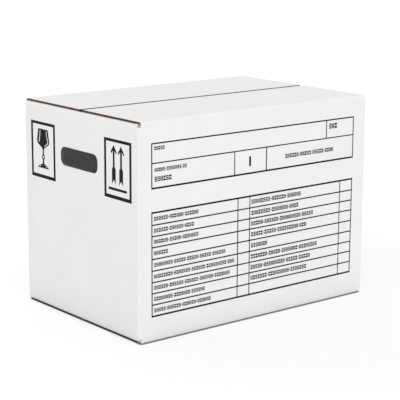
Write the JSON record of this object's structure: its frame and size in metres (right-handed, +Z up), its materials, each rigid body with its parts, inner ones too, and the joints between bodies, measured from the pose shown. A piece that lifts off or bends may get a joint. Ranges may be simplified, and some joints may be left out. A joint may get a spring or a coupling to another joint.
{
  "type": "book moving box",
  "caption": "White corrugated slotted carton for books, with hand holes in both ends, a glued bottom and top flaps folded shut.",
  "frame": {"origin": "under the middle of the base, at the height of the surface that the box stands on", "axes": "+Z up; X along the box's length; -Y towards the front long side; the hand holes are in the ends at -X and +X"},
  "size_m": [0.5, 0.33, 0.36],
  "materials": {
    "white_board": "matte white-lined corrugated board",
    "brown_kraft": "bare brown kraft fluting, seen at cut edges",
    "black_ink": "matt black flexo print"
  },
  "bodies": {
    "carton": {"carton_body": "white_board"},
    "front_flap": {"front_top_flap": "white_board"},
    "rear_flap": {"rear_top_flap": "white_board"}
  },
  "joints": [
    {"name": "front_flap_crease", "type": "hinge", "parent": "carton", "child": "front_flap", "pos_m": [0, -0.164, 0.359], "axis": [1, 0, 0], "range_deg": [0, 230]},
    {"name": "rear_flap_crease", "type": "hinge", "parent": "carton", "child": "rear_flap", "pos_m": [0, 0.164, 0.359], "axis": [-1, 0, 0], "range_deg": [0, 230]}
  ]
}
